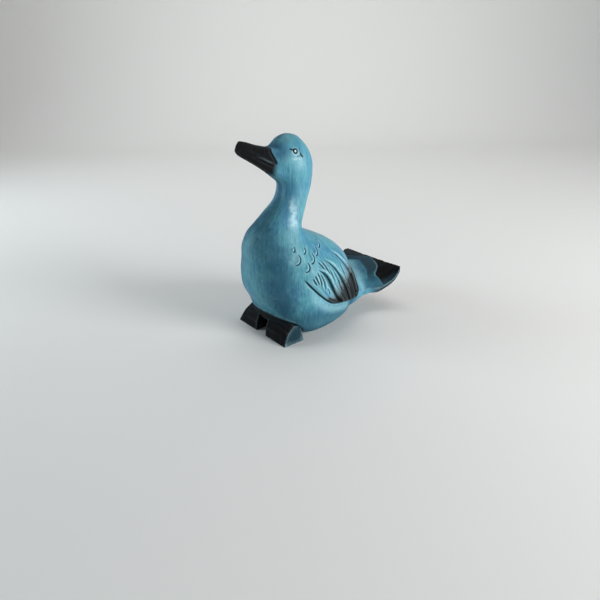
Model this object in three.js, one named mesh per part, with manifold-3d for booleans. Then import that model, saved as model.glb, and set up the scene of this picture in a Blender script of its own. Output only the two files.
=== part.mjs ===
// A carved wooden duck that sits upright on its flat underside and two block feet.
// Millimetres, +Z up. The duck faces -Y and its left side is +X. It is one solid piece of wood.
import * as THREE from "three";
import { mergeVertices } from "three/addons/utils/BufferGeometryUtils.js";
import Module from "manifold-3d";

const wasm = await Module();
wasm.setup();

// Driving dimensions. Places along the duck are distances behind the front of its feet.
const HEIGHT = 230;
const BELLY_HALF_WIDTH = 58;
const TAIL_END = 197;
const BILL_TIP = -18;
const FOOT_WIDTH = 39;
const FOOT_GAP = 19;
const FOOT_LENGTH = 29;
const FOOT_LEAN = 4;

// Body, neck and head: height, front, back, half width and place of the widest point at each level.
const BODY_LEVELS = [
  [0, 26, 79, 34, 50],
  [6, 19, 104, 47, 54],
  [20, 6, 131, 57, 58],
  [40, -1, 129, BELLY_HALF_WIDTH, 57],
  [60, -11, 129, BELLY_HALF_WIDTH, 54],
  [80, -13, 124, 54, 51],
  [95, -12, 111.5, 48, 47],
  [108, -13, 93, 41, 41],
  [119, -10.5, 70, 33, 35],
  [126, -7, 56, 29.5, 34],
  [133, 1.5, 57, 26.5, 37],
  [145, 15.5, 62.5, 23, 44],
  [160, 33, 69.5, 20, 51],
  [175, 37, 76, 19.5, 54],
  [190, 28, 78, 21, 52],
  [198, 19, 78, 21.5, 51],
  [205, 14, 76, 21.5, 50],
  [211, 17.5, 73, 20.5, 49],
  [217, 25.5, 69.5, 18, 48],
  [223, 30.5, 64, 14.5, 47],
  [228, 38, 58, 8.5, 47],
  [HEIGHT, 44, 50, 3, 47],
];
// Above 2 the cross sections are a little squarer than an ellipse.
const SQUARENESS = 2.15;
// How far up and down the levels are averaged into smooth curves, and in how many steps.
const BODY_SPREAD = 8;
const SPREAD_STEPS = 10;
const BODY_SLICES = 44;
const BODY_SIDES = 48;
// How much a change of profile crowds the slices, against plain height.
const CROWDING = 0.4;

// Tail: place, half width, top at the middle, top at the side, thickness at the side, underside and
// flatness, which is how far out the top and the underside stay level before they bend.
const TAIL_LEVELS = [
  [85, 34, 70, 30, 12, 12, 4],
  [115, 41, 56, 27, 10, 15, 4],
  [130, 39.5, 47, 29.5, 9, 18, 4],
  [145, 38.5, 42.5, 32, 8, 21, 3],
  [160, 42, 43.5, 30, 7, 24, 2.4],
  [175, 48, 48, 35.5, 6, 29, 2.2],
  [187, 53.5, 51, 46.5, 6, 38, 2.2],
  [193, 53.5, 51.5, 52.5, 5.5, 43, 2.2],
  [TAIL_END, 50, 52, 54.5, 5, 48.5, 2.2],
];
// How far the tail's rear edge is drawn forward at a distance from the middle, and where that starts.
const TAIL_BOW = 4;
const TAIL_BOW_AT = 50;
const TAIL_BOW_START = 150;
const TAIL_SLICES = 16;
const TAIL_SIDES = 10;

// Bill: share of the way out, top edge place and height, bottom edge place and height, half width.
const BILL_LEVELS = [
  [0, 44, 213.8, 48, 168, 14],
  [0.25, 32, 216, 35, 179, 15],
  [0.5, 14, 219.3, 17, 193.3, 13.5],
  [0.8, 0, 222.7, -3, 205.8, 11.5],
  [0.94, -8.5, 225.8, -14.5, 212.6, 9.5],
  [1, -11, 226.6, BILL_TIP, 216.3, 7.2],
];
const BILL_SLICES = 11;
// Half of the bill's cross section, as shares of its half width and of the way down from its top.
const BILL_SECTION = [
  [0.75, 0],
  [0.96, 0.09],
  [1.03, 0.5],
  [0.94, 0.62],
  [0.87, 0.8],
  [0.5, 1],
];

// Side profiles of a foot from toe to heel: place and height at its inner face, then at its outer face.
const FOOT_PROFILE = [
  [1, 11, 3, 5.5],
  [8, 26, 8.5, 14],
  [19, 31, 18, 20.5],
  [27, 28, 27, 18],
];

// The wing shell stands off the body sideways by its raise, which fades out up to the wing's top,
// and reaches further behind it from the fade height down to the tips.
const WING_RAISE = 3;
const WING_REACH = 22;
const WING_FRONT_TRIM = 14;
const WING_TIP_HEIGHT = 35;
const WING_FADE_HEIGHT = 85;
const WING_TOP_HEIGHT = 105;
const WING_INNER = 12;
const WING_OUTER = 80;
const WING_EDGE_STEPS = 14;

// Wing outline and feather grooves, as places behind the toes and heights.
const WING_LOWER_EDGE = [
  [28, 80],
  [36, 69],
  [49, 55],
  [64, 43],
  [80, 38],
  [96, 35],
  [112, 33],
];
const WING_REAR_EDGE = [
  [119, 35],
  [122, 41],
  [117, 53],
  [111.5, 64],
  [107, 75],
  [103, 83],
  [99, 92],
];
const WING_HIDDEN_EDGE = [
  [90, 104],
  [60, 110],
  [32, 104],
  [24, 90],
];
const FEATHER_GROOVES = [
  [[46, 87.2], [55, 79.8], [59.2, 73.5], [62.5, 65], [67, 55], [72.5, 46], [78, 40]],
  [[57.5, 95.5], [64.5, 90.7], [71, 84], [77.5, 74.5], [83.5, 63.5], [89, 53], [95.5, 38]],
  [[73, 101], [82.5, 94.3], [89.5, 86], [96, 76], [102, 65], [107, 54], [111, 41]],
];
const SHORT_GROOVES = [
  [[49.7, 94.2], [55, 84.4]],
  [[55, 93.6], [62.2, 76.9]],
  [[48.1, 82.7], [51.8, 60.6]],
  [[40.6, 81.9], [44.6, 69.6]],
];
const GROOVE_WIDTH = 2.6;
const GROOVE_DEPTH = 1.8;
const GROOVE_END_SHARE = 0.3;
const SHORT_GROOVE_SCALE = 0.6;

// Small curved cuts round the shoulder feathers: middle place, middle height and radius.
const SHOULDER_FEATHERS = [
  [23.4, 111.8, 3.1],
  [35.4, 108.9, 3.9],
  [60, 111.7, 4.8],
  [50.9, 105.4, 4.8],
  [22.9, 101.5, 6.6],
  [41.2, 100, 5.9],
  [31.6, 92.3, 5.8],
];
const SHOULDER_FEATHER_SCALE = 0.45;
const SHOULDER_FEATHER_TOP = 0.2 * Math.PI;
const SHOULDER_FEATHER_END = -0.55 * Math.PI;

// The eye is a low cap of a ball sunk into the side of the head.
const EYE_PLACE = [44, 213.4];
const EYEBALL_RADIUS = 5;
const EYE_BULGE = 1;
const EYE_SIDES = 16;

// A smooth curve through the points of a table, with no overshoot between them.
function columnCurve(table, column) {
  const u = table.map((row) => row[0]);
  const v = table.map((row) => row[column]);
  const last = u.length - 1;
  const step = u.slice(1).map((next, i) => next - u[i]);
  const slope = step.map((width, i) => (v[i + 1] - v[i]) / width);
  const tangent = v.map((_, i) => {
    if (i === 0) return slope[0];
    if (i === last) return slope[last - 1];
    if (slope[i - 1] * slope[i] <= 0) return 0;
    const before = 2 * step[i] + step[i - 1];
    const after = step[i] + 2 * step[i - 1];
    return (before + after) / (before / slope[i - 1] + after / slope[i]);
  });
  return (at) => {
    let i = 0;
    while (i < last - 1 && at > u[i + 1]) i++;
    const t = Math.min(Math.max((at - u[i]) / step[i], 0), 1);
    const rise = t * t * (3 - 2 * t);
    const leave = t * (1 - t) * (1 - t);
    const arrive = t * t * (t - 1);
    return v[i] + (v[i + 1] - v[i]) * rise + step[i] * (tangent[i] * leave + tangent[i + 1] * arrive);
  };
}

// The mean of a curve over a spread of heights, which narrows to nothing at the base and the top.
function softened(curve) {
  return (z) => {
    const reach = Math.max(Math.min(z, HEIGHT - z, BODY_SPREAD), 0);
    let sum = 0;
    let total = 0;
    for (let i = 1; i < SPREAD_STEPS; i++) {
      const offset = (2 * i) / SPREAD_STEPS - 1;
      const share = 1 + Math.cos(Math.PI * offset);
      sum += share * curve(z + reach * offset);
      total += share;
    }
    return sum / total;
  };
}

function solidOf(vertProperties, triVerts) {
  return new wasm.Manifold(new wasm.Mesh({ numProp: 3, vertProperties, triVerts }));
}

// Rings of points, each counter-clockwise as seen from the last ring, closed into one solid.
function solidFromRings(rings) {
  const sides = rings[0].length;
  const points = rings.flat();
  const start = points.length;
  const end = start + 1;
  for (const ring of [rings[0], rings.at(-1)]) {
    const centre = new THREE.Vector3();
    ring.forEach((point) => centre.add(point));
    points.push(centre.divideScalar(sides));
  }
  const faces = [];
  const topRow = start - sides;
  for (let j = 0; j < sides; j++) {
    const next = (j + 1) % sides;
    faces.push(start, next, j, end, topRow + j, topRow + next);
    for (let row = 0; row < topRow; row += sides) {
      faces.push(row + j, row + next, row + sides + next);
      faces.push(row + j, row + sides + next, row + sides + j);
    }
  }
  return solidOf(Float32Array.from(points.flatMap((point) => point.toArray())), Uint32Array.from(faces));
}

// The same rings on the duck's right side.
function mirrored(rings) {
  return rings.map((ring) => ring.map((p) => new THREE.Vector3(-p.x, p.y, p.z)).reverse());
}

const bodyFront = softened(columnCurve(BODY_LEVELS, 1));
const bodyBack = softened(columnCurve(BODY_LEVELS, 2));
const bodyHalf = softened(columnCurve(BODY_LEVELS, 3));
const bodyWidest = softened(columnCurve(BODY_LEVELS, 4));

// The level cross section of the body, or of the wing shell that stands off it.
function section(z, isWing) {
  const widest = bodyWidest(z);
  const reachShare = (WING_FADE_HEIGHT - z) / (WING_FADE_HEIGHT - WING_TIP_HEIGHT);
  const raiseShare = (WING_TOP_HEIGHT - z) / (WING_TOP_HEIGHT - WING_FADE_HEIGHT);
  const reach = isWing ? WING_REACH * Math.max(reachShare, 0) : 0;
  const raise = isWing ? WING_RAISE * Math.min(raiseShare, 1) : 0;
  return {
    widest,
    half: bodyHalf(z) + raise,
    ahead: widest - bodyFront(z) - (isWing ? WING_FRONT_TRIM : 0),
    behind: bodyBack(z) - widest + reach,
  };
}

function sectionRing(z, isWing) {
  const { widest, half, ahead, behind } = section(z, isWing);
  const power = 2 / SQUARENESS;
  return Array.from({ length: BODY_SIDES }, (_, i) => {
    const angle = (2 * Math.PI * i) / BODY_SIDES;
    const across = Math.cos(angle);
    const along = Math.sin(angle);
    const x = half * Math.sign(across) * Math.abs(across) ** power;
    const y = (along > 0 ? behind : ahead) * Math.sign(along) * Math.abs(along) ** power;
    return new THREE.Vector3(x, widest + y, z);
  });
}

// Heights at even steps over the skin, so that slices crowd where the profile turns in.
function sliceHeights(count) {
  const fineSteps = 2 * HEIGHT;
  const heightAt = (i) => (HEIGHT * i) / fineSteps;
  const travel = [0];
  for (let i = 1; i <= fineSteps; i++) {
    const [z0, z1] = [heightAt(i - 1), heightAt(i)];
    const turn = [bodyFront, bodyBack, bodyHalf].reduce((sum, f) => sum + Math.abs(f(z1) - f(z0)), 0);
    travel.push(travel[i - 1] + (z1 - z0) + CROWDING * turn);
  }
  return Array.from({ length: count }, (_, k) => {
    const target = (travel[fineSteps] * k) / (count - 1);
    return heightAt(travel.findIndex((way) => way >= target - 1e-9));
  });
}

function makeBody() {
  return solidFromRings(sliceHeights(BODY_SLICES).map((z) => sectionRing(z, false)));
}

function makeTail() {
  const columns = [1, 2, 3, 4, 5, 6].map((column) => columnCurve(TAIL_LEVELS, column));
  const [half, middle, side, thickness, under, flatness] = columns;
  const rings = [];
  for (let i = 0; i < TAIL_SLICES; i++) {
    const first = TAIL_LEVELS[0][0];
    const y = first + ((TAIL_END - first) * i) / (TAIL_SLICES - 1);
    const top = [];
    const bottom = [];
    for (let j = 0; j <= TAIL_SIDES; j++) {
      const share = (2 * j) / TAIL_SIDES - 1;
      const x = share * half(y);
      const bend = Math.abs(share) ** flatness(y);
      const bow = TAIL_BOW * THREE.MathUtils.smoothstep(y, TAIL_BOW_START, TAIL_END) * (x / TAIL_BOW_AT) ** 2;
      top.push(new THREE.Vector3(x, y - bow, middle(y) + (side(y) - middle(y)) * bend));
      bottom.push(new THREE.Vector3(x, y - bow, under(y) + (side(y) - thickness(y) - under(y)) * bend));
    }
    rings.push([...top, ...bottom.reverse()]);
  }
  return solidFromRings(rings);
}

function makeBill() {
  const columns = [1, 2, 3, 4, 5].map((column) => columnCurve(BILL_LEVELS, column));
  const rings = [];
  for (let i = 0; i < BILL_SLICES; i++) {
    const share = i / (BILL_SLICES - 1);
    const [topY, topZ, bottomY, bottomZ, half] = columns.map((curve) => curve(share));
    const pointAt = ([across, down]) =>
      new THREE.Vector3(across * half, topY + (bottomY - topY) * down, topZ + (bottomZ - topZ) * down);
    const left = BILL_SECTION.map(pointAt);
    const right = BILL_SECTION.map(([across, down]) => pointAt([-across, down]));
    rings.push([...left.reverse(), ...right]);
  }
  return solidFromRings(rings);
}

// One foot, as side profiles at its inner and outer faces. The outer face leans inwards.
function footRings() {
  const inner = FOOT_GAP / 2;
  const outer = inner + FOOT_WIDTH;
  const profile = (x, corners, lean) => {
    const highest = Math.max(...corners.map(([, z]) => z));
    const top = corners.map(([y, z]) => new THREE.Vector3(x - (lean * z) / highest, y, z));
    return [new THREE.Vector3(x, 0, 0), ...top, new THREE.Vector3(x, FOOT_LENGTH, 0)].reverse();
  };
  const innerCorners = FOOT_PROFILE.map((row) => row.slice(0, 2));
  const outerCorners = FOOT_PROFILE.map((row) => row.slice(2));
  return [profile(inner, innerCorners, 0), profile(outer, outerCorners, FOOT_LEAN)];
}

// The left flank's surface at a place and height: the wing shell inside its outline, else the body.
function flankPoint(y, z) {
  const reachAcross = (isWing) => {
    const { widest, half, ahead, behind } = section(z, isWing);
    const share = Math.abs(y - widest) / (y > widest ? behind : ahead);
    return share < 1 ? half * (1 - share ** SQUARENESS) ** (1 / SQUARENESS) : 0;
  };
  return new THREE.Vector3(Math.max(reachAcross(false), reachAcross(true)), y, z);
}

function flankNormal(y, z) {
  const step = 0.5;
  const along = flankPoint(y + step, z).sub(flankPoint(y - step, z));
  const up = flankPoint(y, z + step).sub(flankPoint(y, z - step));
  return along.cross(up).normalize();
}

// A tapering V-shaped cutter laid along a curve on the left flank.
function grooveRings(curve, steps, scale) {
  const rings = [];
  for (let i = 0; i <= steps; i++) {
    const at = curve.getPoint(i / steps);
    const tangent = curve.getTangent(i / steps);
    const normal = flankNormal(at.x, at.y);
    const point = flankPoint(at.x, at.y);
    const forward = new THREE.Vector3(0, tangent.x, tangent.y);
    const aside = new THREE.Vector3().crossVectors(normal, forward).normalize();
    const swell = Math.sin((Math.PI * i) / steps);
    const taper = scale * (GROOVE_END_SHARE + (1 - GROOVE_END_SHARE) * swell);
    const depth = GROOVE_DEPTH * taper;
    const open = GROOVE_WIDTH * taper;
    rings.push([
      point.clone().addScaledVector(normal, -depth),
      point.clone().addScaledVector(normal, depth).addScaledVector(aside, open),
      point.clone().addScaledVector(normal, depth).addScaledVector(aside, -open),
    ]);
  }
  return rings;
}

function pathCurve(path) {
  return new THREE.SplineCurve(path.map(([y, z]) => new THREE.Vector2(y, z)));
}

// A crescent that opens forwards, with its lower end turned under.
function crescentCurve([y, z, radius]) {
  return new THREE.EllipseCurve(y, z, radius, radius, SHOULDER_FEATHER_TOP, SHOULDER_FEATHER_END, true);
}

// The wing: the part of the wing shell inside the outline, from well inside the body outwards.
function makeWing(isRight) {
  const heights = sliceHeights(BODY_SLICES).filter((z) => z > 0 && z < WING_TOP_HEIGHT + WING_REACH);
  const shell = solidFromRings(heights.map((z) => sectionRing(z, true)));
  const lower = pathCurve(WING_LOWER_EDGE).getPoints(WING_EDGE_STEPS);
  const rear = pathCurve(WING_REAR_EDGE).getPoints(WING_EDGE_STEPS);
  const hidden = WING_HIDDEN_EDGE.map(([y, z]) => new THREE.Vector2(y, z));
  const outline = [...lower, ...rear, ...hidden];
  const ringAt = (x) => outline.map((p) => new THREE.Vector3(x, p.x, p.y));
  const rings = [ringAt(WING_INNER), ringAt(WING_OUTER)];
  return shell.intersect(solidFromRings(isRight ? mirrored(rings) : rings));
}

function makeEye(side) {
  const [y, z] = EYE_PLACE;
  const ball = new THREE.SphereGeometry(EYEBALL_RADIUS, EYE_SIDES, EYE_SIDES);
  ball.translate(side * (flankPoint(y, z).x + EYE_BULGE - EYEBALL_RADIUS), y, z);
  ball.deleteAttribute("normal");
  ball.deleteAttribute("uv");
  const merged = mergeVertices(ball, 1e-3);
  return solidOf(merged.attributes.position.array, Uint32Array.from(merged.index.array));
}

function makeDuck() {
  let duck = makeBody().add(makeTail()).add(makeBill());
  const feet = footRings();
  duck = duck.add(solidFromRings(feet)).add(solidFromRings(mirrored(feet)));
  duck = duck.add(makeWing(false)).add(makeWing(true));
  duck = duck.add(makeEye(1)).add(makeEye(-1));
  const cutters = [
    ...FEATHER_GROOVES.map((path) => grooveRings(pathCurve(path), 2 * path.length, 1)),
    ...SHORT_GROOVES.map((path) => grooveRings(pathCurve(path), 4, SHORT_GROOVE_SCALE)),
    ...SHOULDER_FEATHERS.map((place) => grooveRings(crescentCurve(place), 5, SHOULDER_FEATHER_SCALE)),
  ];
  for (const rings of cutters) {
    duck = duck.subtract(solidFromRings(rings)).subtract(solidFromRings(mirrored(rings)));
  }
  return duck;
}

function geometryOf(solid) {
  const mesh = solid.getMesh();
  const geometry = new THREE.BufferGeometry();
  geometry.setAttribute("position", new THREE.BufferAttribute(mesh.vertProperties, mesh.numProp));
  geometry.setIndex(new THREE.BufferAttribute(mesh.triVerts, 1));
  geometry.computeVertexNormals();
  return geometry;
}

const paintedWood = new THREE.MeshStandardMaterial({ color: 0x4f93ab, roughness: 0.42, metalness: 0 });
const duck = new THREE.Mesh(geometryOf(makeDuck()), paintedWood);
duck.name = "duck";

// The origin is under the middle of the bird's length, on the surface that it stands on.
duck.position.y = -(TAIL_END + BILL_TIP) / 2;

const figurine = new THREE.Group();
figurine.add(duck);

export default figurine;
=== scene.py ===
# A carved and painted wooden duck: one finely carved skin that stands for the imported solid.
import math

import bpy
import numpy as np
from mathutils import Matrix, Vector
from mathutils.kdtree import KDTree


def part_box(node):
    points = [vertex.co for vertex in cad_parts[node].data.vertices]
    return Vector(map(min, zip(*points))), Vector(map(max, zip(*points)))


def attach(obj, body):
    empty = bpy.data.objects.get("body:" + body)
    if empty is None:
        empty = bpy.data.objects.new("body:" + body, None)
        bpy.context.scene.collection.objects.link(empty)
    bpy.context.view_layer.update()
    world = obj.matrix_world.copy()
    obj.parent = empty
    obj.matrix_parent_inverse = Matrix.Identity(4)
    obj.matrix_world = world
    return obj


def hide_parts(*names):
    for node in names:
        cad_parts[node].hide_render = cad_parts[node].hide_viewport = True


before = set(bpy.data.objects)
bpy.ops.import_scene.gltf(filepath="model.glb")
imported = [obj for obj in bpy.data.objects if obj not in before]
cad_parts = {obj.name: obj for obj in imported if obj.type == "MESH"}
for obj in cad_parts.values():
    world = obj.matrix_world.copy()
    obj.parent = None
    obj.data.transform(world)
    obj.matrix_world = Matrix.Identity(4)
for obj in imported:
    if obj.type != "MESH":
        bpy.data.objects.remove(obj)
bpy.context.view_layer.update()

# The skin is carved in millimetres: x to the left, y behind the front of the feet, z up.
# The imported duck's height sets the real size of one of these millimetres.
HEIGHT = 230
BILL_TIP = -18
TAIL_END = 197
LOW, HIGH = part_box("duck")
UNIT = (HIGH.z - LOW.z) / HEIGHT
TOE_LINE = LOW.y - BILL_TIP * UNIT

# Resolution of the solids, of the skin carved from them, and of the finished mesh.
TRUNK_RINGS, TRUNK_SIDES = 360, 320
TAIL_RINGS, TAIL_COLUMNS = 190, 160
BILL_RINGS, BILL_HALF_SIDES = 150, 90
FOOT_RINGS, FOOT_SIDES = 80, 240
WING_RINGS, WING_SIDES = 130, 520
EDGE_STEPS = 12
VOXEL = 0.5
FINISHED_TRIANGLES = 190_000

# Body, neck and head: height, front, back, half width and place of the widest point at each level.
BELLY_HALF_WIDTH = 58
BODY_LEVELS = [
    [0, 26, 79, 34, 50],
    [6, 19, 104, 47, 54],
    [20, 6, 131, 57, 58],
    [40, -1, 129, BELLY_HALF_WIDTH, 57],
    [60, -11, 129, BELLY_HALF_WIDTH, 54],
    [80, -13, 124, 54, 51],
    [95, -12, 111.5, 48, 47],
    [108, -13, 93, 41, 41],
    [119, -10.5, 70, 33, 35],
    [126, -7, 56, 29.5, 34],
    [133, 1.5, 57, 26.5, 37],
    [145, 15.5, 62.5, 23, 44],
    [160, 33, 69.5, 20, 51],
    [175, 37, 76, 19.5, 54],
    [190, 28, 78, 21, 52],
    [198, 19, 78, 21.5, 51],
    [205, 14, 76, 21.5, 50],
    [211, 17.5, 73, 20.5, 49],
    [217, 25.5, 69.5, 18, 48],
    [223, 30.5, 64, 14.5, 47],
    [228, 38, 58, 8.5, 47],
    [HEIGHT, 44, 50, 3, 47],
]
SQUARENESS = 2.15
# How far above and below a level its measures are averaged.
BODY_SPREAD = 8
# The upright line that brush strokes run round, at its place behind the toes.
AXIS_PLACE = 50

# Tail: place, half width, top at the middle, top at the side, thickness at the side, underside and
# flatness, which is how far out the top and the underside stay level before they bend.
TAIL_LEVELS = [
    [85, 34, 70, 30, 12, 12, 4],
    [115, 41, 56, 27, 10, 15, 4],
    [130, 39.5, 47, 29.5, 9, 18, 4],
    [145, 38.5, 42.5, 32, 8, 21, 3],
    [160, 42, 43.5, 30, 7, 24, 2.4],
    [175, 48, 48, 35.5, 6, 29, 2.2],
    [187, 53.5, 51, 46.5, 6, 38, 2.2],
    [193, 53.5, 51.5, 52.5, 5.5, 43, 2.2],
    [TAIL_END, 50, 52, 54.5, 5, 48.5, 2.2],
]
# The tail is drawn forward by this much at its rear end, at this distance from its middle, and by
# less the nearer a point is to the middle or to this place.
TAIL_BOW = 4
TAIL_BOW_AT = 50
TAIL_BOW_START = 150

# Bill: share of the way out, top edge place and height, bottom edge place and height, half width.
BILL_LEVELS = [
    [0, 44, 213.8, 48, 168, 14],
    [0.25, 32, 216, 35, 179, 15],
    [0.5, 14, 219.3, 17, 193.3, 13.5],
    [0.8, 0, 222.7, -3, 205.8, 11.5],
    [0.94, -8.5, 225.8, -14.5, 212.6, 9.5],
    [1, -11, 226.6, BILL_TIP, 216.3, 7.2],
]
# Half of the bill's cross section, as shares of its half width and of the way down from its top.
BILL_SECTION = [
    [0, 0], [0.75, 0], [0.96, 0.09], [1.03, 0.5], [0.94, 0.62], [0.87, 0.8], [0.5, 1], [0, 1],
]

# Side profiles of a foot from toe to heel: place and height on its inner face, then on its outer face.
FOOT_PROFILE = [
    [1, 11, 3, 5.5],
    [8, 26, 8.5, 14],
    [19, 31, 18, 20.5],
    [27, 28, 27, 18],
]
FOOT_WIDTH = 39
FOOT_GAP = 19
FOOT_LENGTH = 29
FOOT_LEAN = 4

# The wing shell stands off the body sideways by its raise, which fades out up to the wing's top,
# and reaches further behind it from the fade height down to the tips.
WING_RAISE = 3
WING_REACH = 22
WING_FRONT_TRIM = 14
WING_TIP_HEIGHT = 35
WING_FADE_HEIGHT = 85
WING_TOP_HEIGHT = 105
WING_INNER = 12
WING_MIDDLE = (76, 72)

# The wing's outline, as places behind the toes and heights.
WING_LOWER_EDGE = [[28, 80], [36, 69], [49, 55], [64, 43], [80, 38], [96, 35], [112, 33]]
WING_REAR_EDGE = [[119, 35], [122, 41], [117, 53], [111.5, 64], [107, 75], [103, 83], [99, 92]]
WING_HIDDEN_EDGE = [[90, 104], [60, 110], [32, 104], [24, 90]]


def column_curve(table, column):
    """A smooth curve through the points of a table, with no overshoot between them."""
    u = np.array([row[0] for row in table], float)
    v = np.array([row[column] for row in table], float)
    step = np.diff(u)
    slope = np.diff(v) / step
    before = 2 * step[1:] + step[:-1]
    after = step[1:] + 2 * step[:-1]
    same_way = slope[:-1] * slope[1:] > 0
    first = np.where(same_way, slope[:-1], 1)
    second = np.where(same_way, slope[1:], 1)
    inner = np.where(same_way, (before + after) / (before / first + after / second), 0)
    tangent = np.concatenate([slope[:1], inner, slope[-1:]])

    def at(x):
        i = np.clip(np.searchsorted(u, x, side="right") - 1, 0, len(step) - 1)
        t = np.clip((x - u[i]) / step[i], 0, 1)
        rise = t * t * (3 - 2 * t)
        leave = t * (1 - t) ** 2
        arrive = t * t * (t - 1)
        bend = step[i] * (tangent[i] * leave + tangent[i + 1] * arrive)
        return v[i] + (v[i + 1] - v[i]) * rise + bend

    return at


def softened(curve):
    """The mean of a curve over a spread of heights, which narrows to nothing at the base and the top."""
    offsets = np.linspace(-1, 1, 11)
    shares = 1 + np.cos(np.pi * offsets)
    shares /= shares.sum()

    def at(z):
        reach = np.clip(np.minimum(z, HEIGHT - z), 0, BODY_SPREAD)
        return sum(share * curve(z + reach * offset) for share, offset in zip(shares, offsets))

    return at


body_front, body_back, body_half, body_widest = (
    softened(column_curve(BODY_LEVELS, i)) for i in range(1, 5)
)
tail_half, tail_middle, tail_side, tail_thickness, tail_under, tail_flatness = (
    column_curve(TAIL_LEVELS, i) for i in range(1, 7)
)
bill_curves = [column_curve(BILL_LEVELS, i) for i in range(1, 6)]


def smoothstep(low_end, high_end, value):
    """A smooth rise from 0 at the low end to 1 at the high end, or a fall if the ends are swapped."""
    share = np.clip((value - low_end) / (high_end - low_end), 0, 1)
    return share * share * (3 - 2 * share)


def hump(distance, width):
    """1 at no distance, about a third at the width and nothing far beyond it."""
    return np.exp(-((distance / width) ** 2))


def spline_points(path, steps):
    """A smooth curve through the points of a path, as points at even steps between each two."""
    path = np.array(path, float)
    ends = np.vstack([2 * path[0] - path[1], path, 2 * path[-1] - path[-2]])
    points = []
    for a, b, c, d in zip(ends, ends[1:], ends[2:], ends[3:]):
        for t in np.arange(steps) / steps:
            bend = (2 * a - 5 * b + 4 * c - d) * t**2 + (3 * b - 3 * c + d - a) * t**3
            points.append(0.5 * (2 * b + (c - a) * t + bend))
    points.append(path[-1])
    return np.array(points)


def resampled(polyline, count):
    """Points at even spacing along a polyline."""
    way = np.concatenate([[0], np.cumsum(np.linalg.norm(np.diff(polyline, axis=0), axis=1))])
    targets = np.linspace(0, way[-1], count)
    return np.stack([np.interp(targets, way, axis) for axis in polyline.T], axis=1)


# The blank, made of closed solids that overlap


def solid_from_rings(rings):
    """Closed rings of equal length, capped at both ends with a fan, as points and triangles."""
    rings = np.array(rings, float)
    rows, sides, _ = rings.shape
    points = np.vstack([rings.reshape(-1, 3), rings[0].mean(axis=0), rings[-1].mean(axis=0)])
    grid = np.arange(rows * sides).reshape(rows, sides)
    beside = np.roll(grid, -1, axis=1)
    start = np.full(sides, rows * sides)
    triangles = [
        np.stack([grid[:-1], beside[:-1], beside[1:]], axis=-1).reshape(-1, 3),
        np.stack([grid[:-1], beside[1:], grid[1:]], axis=-1).reshape(-1, 3),
        np.stack([start, beside[0], grid[0]], axis=-1),
        np.stack([start + 1, grid[-1], beside[-1]], axis=-1),
    ]
    return points, np.vstack(triangles)


def mirrored(solid):
    points, triangles = solid
    return points * [-1, 1, 1], triangles[:, ::-1]


def trunk_section(z, is_wing):
    """Widest place, half width, and reach ahead and behind, of the body or wing shell at a height."""
    widest = body_widest(z)
    half = body_half(z)
    ahead = widest - body_front(z)
    behind = body_back(z) - widest
    if is_wing:
        reach_share = (WING_FADE_HEIGHT - z) / (WING_FADE_HEIGHT - WING_TIP_HEIGHT)
        raise_share = (WING_TOP_HEIGHT - z) / (WING_TOP_HEIGHT - WING_FADE_HEIGHT)
        half = half + WING_RAISE * np.minimum(raise_share, 1)
        ahead = ahead - WING_FRONT_TRIM
        behind = behind + WING_REACH * np.maximum(reach_share, 0)
    return widest, half, ahead, behind


def flank(y, z, is_wing):
    """How far out the left flank of the body or of the wing shell is at a place and height."""
    widest, half, ahead, behind = trunk_section(z, is_wing)
    share = np.abs((y - widest) / np.where(y > widest, behind, ahead))
    return half * np.clip(1 - share**SQUARENESS, 0, 1) ** (1 / SQUARENESS)


def make_trunk():
    heights = HEIGHT * np.linspace(0, 1, TRUNK_RINGS)
    angles = np.linspace(0, 2 * np.pi, TRUNK_SIDES, endpoint=False)
    widest, half, ahead, behind = (row[:, None] for row in trunk_section(heights, False))
    across = np.sign(np.cos(angles)) * np.abs(np.cos(angles)) ** (2 / SQUARENESS)
    along = np.sign(np.sin(angles)) * np.abs(np.sin(angles)) ** (2 / SQUARENESS)
    x = half * across
    y = widest + np.where(along > 0, behind, ahead) * along
    return solid_from_rings(np.stack([x, y, heights[:, None] + 0 * x], axis=-1))


def tail_skin(x, y):
    """Heights of the tail's top and underside."""
    bend = np.clip(np.abs(x) / tail_half(y), 0, 1) ** tail_flatness(y)
    top = tail_middle(y) + (tail_side(y) - tail_middle(y)) * bend
    underside = tail_under(y) + (tail_side(y) - tail_thickness(y) - tail_under(y)) * bend
    return top, underside


def tail_bow(x, y):
    """How far the tail's rear edge is drawn forward towards its corners."""
    return TAIL_BOW * smoothstep(TAIL_BOW_START, TAIL_END, y) * (x / TAIL_BOW_AT) ** 2


def make_tail():
    rings = []
    for y in np.linspace(TAIL_LEVELS[0][0], TAIL_END, TAIL_RINGS):
        x = np.linspace(-1, 1, TAIL_COLUMNS) * tail_half(y)
        top, underside = tail_skin(x, np.full_like(x, y))
        upper = np.stack([x, np.full_like(x, y), top], axis=-1)
        lower = np.stack([x, np.full_like(x, y), underside], axis=-1)[::-1]
        rings.append(np.vstack([upper, lower]))
    points, triangles = solid_from_rings(rings)
    points[:, 1] -= tail_bow(*points[:, :2].T)
    return points, triangles


def make_bill():
    section = resampled(spline_points(BILL_SECTION, 8), BILL_HALF_SIDES)
    section = np.vstack([section, (section * [-1, 1])[-2:0:-1]])
    across, down = section.T
    rings = []
    for share in np.linspace(0, 1, BILL_RINGS):
        top_y, top_z, bottom_y, bottom_z, half = (curve(share) for curve in bill_curves)
        y = top_y + (bottom_y - top_y) * down
        z = top_z + (bottom_z - top_z) * down
        rings.append(np.stack([across * half, y, z], axis=-1))
    return solid_from_rings(rings)


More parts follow.
